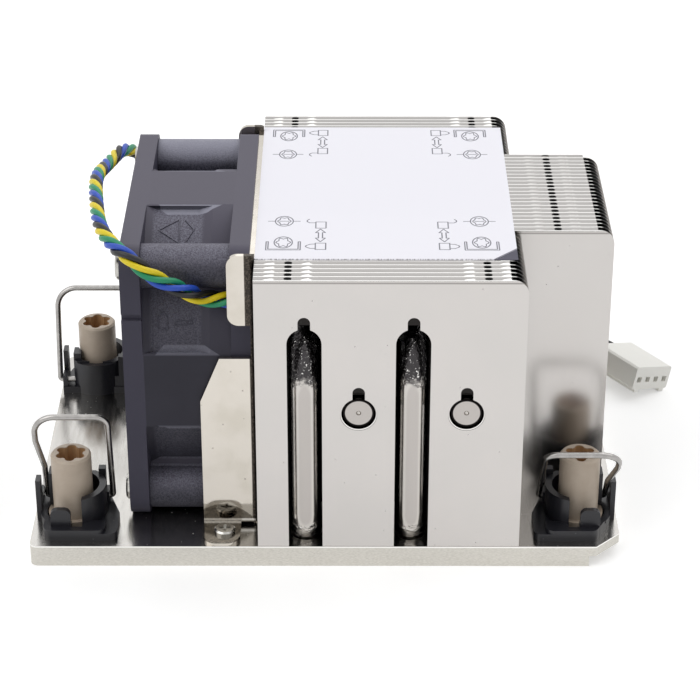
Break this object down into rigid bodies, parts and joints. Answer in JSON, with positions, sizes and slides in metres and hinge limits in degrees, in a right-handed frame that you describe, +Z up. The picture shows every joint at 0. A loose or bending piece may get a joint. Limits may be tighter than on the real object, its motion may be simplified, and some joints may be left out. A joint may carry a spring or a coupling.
{
  "type": "active two-unit server processor heatsink with fan",
  "caption": "Finned processor cooler for a server, with heat pipes, a side fan on a folded bracket, captive nuts under spring wires and a twisted fan lead.",
  "frame": {"origin": "middle of the base plate's underside, the face that meets the processor", "axes": "+X from the fan to the air's outlet, +Y across the plate to the rear row of nuts, +Z up from the processor through the fins"},
  "size_m": [0.1372, 0.0932, 0.068],
  "materials": {
    "plated_base": "nickel plated, nearly mirror bright",
    "plated_pipe": "nickel plated with solder left at the bends",
    "fin_sheet": "satin sheet",
    "label": "white film",
    "fan_plastic": "moulded, fine grain",
    "impeller_plastic": "moulded",
    "motor_steel": "pressed steel",
    "magnet": "sintered",
    "winding": "enamelled wire",
    "bearing_steel": "ground steel",
    "circuit_board": "lacquered board",
    "bracket_sheet": "plated sheet, bright",
    "screw_steel": "plated",
    "retainer_plastic": "moulded, fine grain",
    "nut_plastic": "moulded, beige",
    "spring_wire": "bright spring wire",
    "cord_wire": "four twisted wires",
    "plug_plastic": "moulded, white",
    "contact_metal": "tinned strip"
  },
  "bodies": {
    "cooler": {"base_plate": "plated_base", "heat_pipe_1": "plated_pipe", "heat_pipe_2": "plated_pipe", "heat_pipe_3": "plated_pipe", "heat_pipe_4": "plated_pipe", "fins_front_bank": "fin_sheet", "fins_middle_bank": "fin_sheet", "fins_rear_bank": "fin_sheet", "label_sheet": "label", "fan_frame": "fan_plastic", "stator_core": "motor_steel", "stator_coils": "winding", "bearings": "bearing_steel", "fan_board": "circuit_board", "fan_bracket": "bracket_sheet", "fan_screws": "screw_steel", "foot_screws": "screw_steel", "retainer_front_left": "retainer_plastic", "retainer_front_right": "retainer_plastic", "retainer_rear_left": "retainer_plastic", "retainer_rear_right": "retainer_plastic", "fan_cable": "cord_wire", "plug_housing": "plug_plastic", "plug_contacts": "contact_metal"},
    "rotor": {"impeller": "impeller_plastic", "rotor_yoke": "motor_steel", "magnet_ring": "magnet", "fan_shaft": "bearing_steel"},
    "nut_body_front_left": {"nut_front_left": "nut_plastic"},
    "wire_body_front_left": {"wire_front_left": "spring_wire"},
    "nut_body_front_right": {"nut_front_right": "nut_plastic"},
    "wire_body_front_right": {"wire_front_right": "spring_wire"},
    "nut_body_rear_left": {"nut_rear_left": "nut_plastic"},
    "wire_body_rear_left": {"wire_rear_left": "spring_wire"},
    "nut_body_rear_right": {"nut_rear_right": "nut_plastic"},
    "wire_body_rear_right": {"wire_rear_right": "spring_wire"}
  },
  "joints": [
    {"name": "fan_spin", "type": "hinge", "parent": "cooler", "child": "rotor", "pos_m": [-0.0274, 0.0002, 0.035], "axis": [1, 0, 0], "continuous": true},
    {"name": "nut_turn_front_left", "type": "hinge", "parent": "cooler", "child": "nut_body_front_left", "pos_m": [-0.051, -0.028, 0.012], "axis": [0, 0, 1], "continuous": true},
    {"name": "wire_fold_front_left", "type": "hinge", "parent": "cooler", "child": "wire_body_front_left", "pos_m": [-0.051, -0.024, 0.0073], "axis": [1, 0, 0], "range_deg": [-11, 79]},
    {"name": "nut_turn_front_right", "type": "hinge", "parent": "cooler", "child": "nut_body_front_right", "pos_m": [0.051, -0.028, 0.012], "axis": [0, 0, 1], "continuous": true},
    {"name": "wire_fold_front_right", "type": "hinge", "parent": "cooler", "child": "wire_body_front_right", "pos_m": [0.051, -0.024, 0.0073], "axis": [1, 0, 0], "range_deg": [-36, 54]},
    {"name": "nut_turn_rear_left", "type": "hinge", "parent": "cooler", "child": "nut_body_rear_left", "pos_m": [-0.051, 0.028, 0.012], "axis": [0, 0, 1], "continuous": true},
    {"name": "wire_fold_rear_left", "type": "hinge", "parent": "cooler", "child": "wire_body_rear_left", "pos_m": [-0.051, 0.024, 0.0073], "axis": [-1, 0, 0], "range_deg": [-11, 79]},
    {"name": "nut_turn_rear_right", "type": "hinge", "parent": "cooler", "child": "nut_body_rear_right", "pos_m": [0.051, 0.028, 0.012], "axis": [0, 0, 1], "continuous": true},
    {"name": "wire_fold_rear_right", "type": "hinge", "parent": "cooler", "child": "wire_body_rear_right", "pos_m": [0.051, 0.024, 0.0073], "axis": [-1, 0, 0], "range_deg": [-11, 79]}
  ]
}
